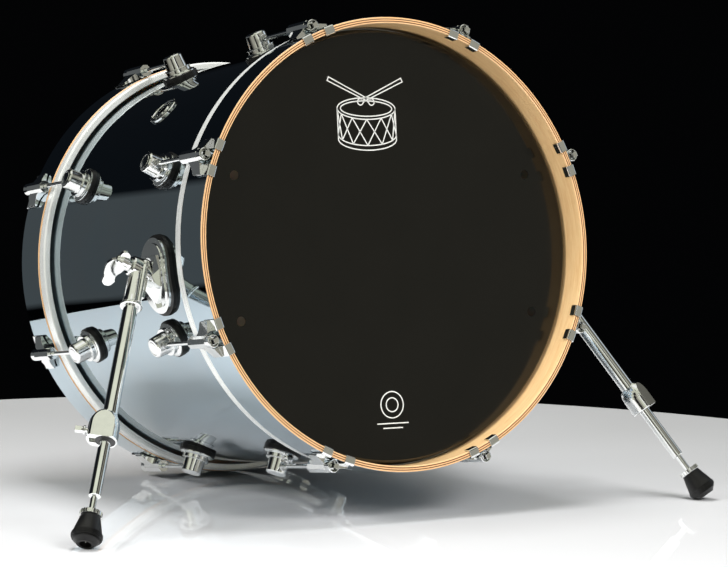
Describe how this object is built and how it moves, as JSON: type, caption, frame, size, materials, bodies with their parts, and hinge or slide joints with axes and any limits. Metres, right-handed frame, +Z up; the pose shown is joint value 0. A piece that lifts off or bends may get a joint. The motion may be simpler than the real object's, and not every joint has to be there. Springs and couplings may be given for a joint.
{
  "type": "bass drum",
  "caption": "Bass drum with a lacquered ply shell, wooden hoops, two heads, chrome tension hardware and a pair of folding spurs with rubber feet.",
  "frame": {"origin": "on the floor under the centre of the bounding box; the drum stands on its rear hoop and on the two rubber feet", "axes": "+X towards the spur on the right seen from the front, -Y towards the front head, +Z up; the drum's axis is tipped up 7 degrees at the front"},
  "size_m": [0.9674, 0.6237, 0.646],
  "materials": {
    "shell_lacquer": "glossy blue-black lacquer over maple ply",
    "hoop_lacquer": "maple ply, gloss black outside face, clear front edge",
    "front_film": "glossy black film",
    "rear_film": "frosted white film",
    "flesh_metal": "bright brushed aluminium",
    "chrome": "polished chrome",
    "steel": "zinc-plated steel",
    "rubber": "black rubber",
    "black_plastic": "black nylon"
  },
  "bodies": {
    "drum": {"shell": "shell_lacquer", "front_head": "front_film", "rear_head": "rear_film", "front_flesh_hoop": "flesh_metal", "rear_flesh_hoop": "flesh_metal", "front_hoop": "hoop_lacquer", "rear_hoop": "hoop_lacquer", "front_lugs": "chrome", "rear_lugs": "chrome", "lug_gaskets": "rubber", "swivel_nuts": "steel", "lug_screws": "steel", "lug_washers": "steel", "front_claws": "chrome", "rear_claws": "chrome", "claw_liners": "rubber", "rod_washers": "steel", "vent_badge": "chrome", "vent_nut": "steel", "bracket_gaskets": "rubber", "backing_plates": "steel", "bracket_screws": "steel", "left_bracket": "chrome", "right_bracket": "chrome"},
    "front_tension_rod_1": {"front_tension_rod_1": "chrome"},
    "front_tension_rod_2": {"front_tension_rod_2": "chrome"},
    "front_tension_rod_3": {"front_tension_rod_3": "chrome"},
    "front_tension_rod_4": {"front_tension_rod_4": "chrome"},
    "front_tension_rod_5": {"front_tension_rod_5": "chrome"},
    "front_tension_rod_6": {"front_tension_rod_6": "chrome"},
    "front_tension_rod_7": {"front_tension_rod_7": "chrome"},
    "front_tension_rod_8": {"front_tension_rod_8": "chrome"},
    "rear_tension_rod_1": {"rear_tension_rod_1": "chrome"},
    "rear_tension_rod_2": {"rear_tension_rod_2": "chrome"},
    "rear_tension_rod_3": {"rear_tension_rod_3": "chrome"},
    "rear_tension_rod_4": {"rear_tension_rod_4": "chrome"},
    "rear_tension_rod_5": {"rear_tension_rod_5": "chrome"},
    "rear_tension_rod_6": {"rear_tension_rod_6": "chrome"},
    "rear_tension_rod_7": {"rear_tension_rod_7": "chrome"},
    "rear_tension_rod_8": {"rear_tension_rod_8": "chrome"},
    "left_leg": {"left_leg_head": "chrome", "left_leg_tube": "chrome", "left_leg_clamp": "chrome", "left_clamp_bush": "black_plastic"},
    "left_wing_bolt": {"left_wing_bolt": "chrome"},
    "left_clamp_screw": {"left_clamp_screw": "chrome"},
    "left_leg_rod": {"left_leg_rod": "chrome"},
    "left_lock_nut": {"left_lock_nut": "chrome"},
    "left_rubber_foot": {"left_rubber_foot": "rubber"},
    "right_leg": {"right_leg_head": "chrome", "right_leg_tube": "chrome", "right_leg_clamp": "chrome", "right_clamp_bush": "black_plastic"},
    "right_wing_bolt": {"right_wing_bolt": "chrome"},
    "right_clamp_screw": {"right_clamp_screw": "chrome"},
    "right_leg_rod": {"right_leg_rod": "chrome"},
    "right_lock_nut": {"right_lock_nut": "chrome"},
    "right_rubber_foot": {"right_rubber_foot": "rubber"}
  },
  "joints": [
    {"name": "front_tension_rod_1_turn", "type": "hinge", "parent": "drum", "child": "front_tension_rod_1", "pos_m": [0.11557, -0.15271, 0.62437], "axis": [0, -0.9925, 0.1219], "continuous": true},
    {"name": "front_tension_rod_2_turn", "type": "hinge", "parent": "drum", "child": "front_tension_rod_2", "pos_m": [0.27901, -0.17263, 0.46214], "axis": [0, -0.9925, 0.1219], "continuous": true},
    {"name": "front_tension_rod_3_turn", "type": "hinge", "parent": "drum", "child": "front_tension_rod_3", "pos_m": [0.27901, -0.2008, 0.23273], "axis": [0, -0.9925, 0.1219], "continuous": true},
    {"name": "front_tension_rod_4_turn", "type": "hinge", "parent": "drum", "child": "front_tension_rod_4", "pos_m": [0.11557, -0.22072, 0.0705], "axis": [0, -0.9925, 0.1219], "continuous": true},
    {"name": "front_tension_rod_5_turn", "type": "hinge", "parent": "drum", "child": "front_tension_rod_5", "pos_m": [-0.11557, -0.22072, 0.0705], "axis": [0, -0.9925, 0.1219], "continuous": true},
    {"name": "front_tension_rod_6_turn", "type": "hinge", "parent": "drum", "child": "front_tension_rod_6", "pos_m": [-0.27901, -0.2008, 0.23273], "axis": [0, -0.9925, 0.1219], "continuous": true},
    {"name": "front_tension_rod_7_turn", "type": "hinge", "parent": "drum", "child": "front_tension_rod_7", "pos_m": [-0.27901, -0.17263, 0.46214], "axis": [0, -0.9925, 0.1219], "continuous": true},
    {"name": "front_tension_rod_8_turn", "type": "hinge", "parent": "drum", "child": "front_tension_rod_8", "pos_m": [-0.11557, -0.15271, 0.62437], "axis": [0, -0.9925, 0.1219], "continuous": true},
    {"name": "rear_tension_rod_1_turn", "type": "hinge", "parent": "drum", "child": "rear_tension_rod_1", "pos_m": [0.11557, 0.2443, 0.57562], "axis": [0, 0.9925, -0.1219], "continuous": true},
    {"name": "rear_tension_rod_2_turn", "type": "hinge", "parent": "drum", "child": "rear_tension_rod_2", "pos_m": [0.27901, 0.22439, 0.4134], "axis": [0, 0.9925, -0.1219], "continuous": true},
    {"name": "rear_tension_rod_3_turn", "type": "hinge", "parent": "drum", "child": "rear_tension_rod_3", "pos_m": [0.27901, 0.19622, 0.18398], "axis": [0, 0.9925, -0.1219], "continuous": true},
    {"name": "rear_tension_rod_4_turn", "type": "hinge", "parent": "drum", "child": "rear_tension_rod_4", "pos_m": [0.11557, 0.1763, 0.02176], "axis": [0, 0.9925, -0.1219], "continuous": true},
    {"name": "rear_tension_rod_5_turn", "type": "hinge", "parent": "drum", "child": "rear_tension_rod_5", "pos_m": [-0.11557, 0.1763, 0.02176], "axis": [0, 0.9925, -0.1219], "continuous": true},
    {"name": "rear_tension_rod_6_turn", "type": "hinge", "parent": "drum", "child": "rear_tension_rod_6", "pos_m": [-0.27901, 0.19622, 0.18398], "axis": [0, 0.9925, -0.1219], "continuous": true},
    {"name": "rear_tension_rod_7_turn", "type": "hinge", "parent": "drum", "child": "rear_tension_rod_7", "pos_m": [-0.27901, 0.22439, 0.4134], "axis": [0, 0.9925, -0.1219], "continuous": true},
    {"name": "rear_tension_rod_8_turn", "type": "hinge", "parent": "drum", "child": "rear_tension_rod_8", "pos_m": [-0.11557, 0.2443, 0.57562], "axis": [0, 0.9925, -0.1219], "continuous": true},
    {"name": "left_leg_fold", "type": "hinge", "parent": "drum", "child": "left_leg", "pos_m": [-0.307, -0.10951, 0.31982], "axis": [0.8988, -0.0534, -0.4351], "range_deg": [-20, 105]},
    {"name": "left_wing_bolt_turn", "type": "hinge", "parent": "drum", "child": "left_wing_bolt", "pos_m": [-0.307, -0.10951, 0.31982], "axis": [-0.8988, 0.0534, 0.4351], "continuous": true},
    {"name": "left_clamp_screw_turn", "type": "hinge", "parent": "left_leg", "child": "left_clamp_screw", "pos_m": [-0.42278, -0.21405, 0.13114], "axis": [-0.8304, 0.5481, 0.0999], "continuous": true},
    {"name": "left_leg_rod_slide", "type": "slide", "parent": "left_leg", "child": "left_leg_rod", "axis": [0.4065, 0.4734, 0.7815], "range_m": [0, 0.075]},
    {"name": "left_lock_nut_travel", "type": "slide", "parent": "left_leg_rod", "child": "left_lock_nut", "axis": [0.4065, 0.4734, 0.7815], "range_m": [0, 0.01]},
    {"name": "left_rubber_foot_turn", "type": "hinge", "parent": "left_lock_nut", "child": "left_rubber_foot", "pos_m": [-0.46367, -0.29198, 0.01859], "axis": [-0.4065, -0.4734, -0.7815], "continuous": true},
    {"name": "right_leg_fold", "type": "hinge", "parent": "drum", "child": "right_leg", "pos_m": [0.307, -0.10951, 0.31982], "axis": [0.8988, 0.0534, 0.4351], "range_deg": [-20, 105]},
    {"name": "right_wing_bolt_turn", "type": "hinge", "parent": "drum", "child": "right_wing_bolt", "pos_m": [0.307, -0.10951, 0.31982], "axis": [0.8988, 0.0534, 0.4351], "continuous": true},
    {"name": "right_clamp_screw_turn", "type": "hinge", "parent": "right_leg", "child": "right_clamp_screw", "pos_m": [0.42278, -0.21405, 0.13114], "axis": [0.8304, 0.5481, 0.0999], "continuous": true},
    {"name": "right_leg_rod_slide", "type": "slide", "parent": "right_leg", "child": "right_leg_rod", "axis": [-0.4065, 0.4734, 0.7815], "range_m": [0, 0.075]},
    {"name": "right_lock_nut_travel", "type": "slide", "parent": "right_leg_rod", "child": "right_lock_nut", "axis": [-0.4065, 0.4734, 0.7815], "range_m": [0, 0.01]},
    {"name": "right_rubber_foot_turn", "type": "hinge", "parent": "right_lock_nut", "child": "right_rubber_foot", "pos_m": [0.46367, -0.29198, 0.01859], "axis": [0.4065, -0.4734, -0.7815], "continuous": true}
  ]
}
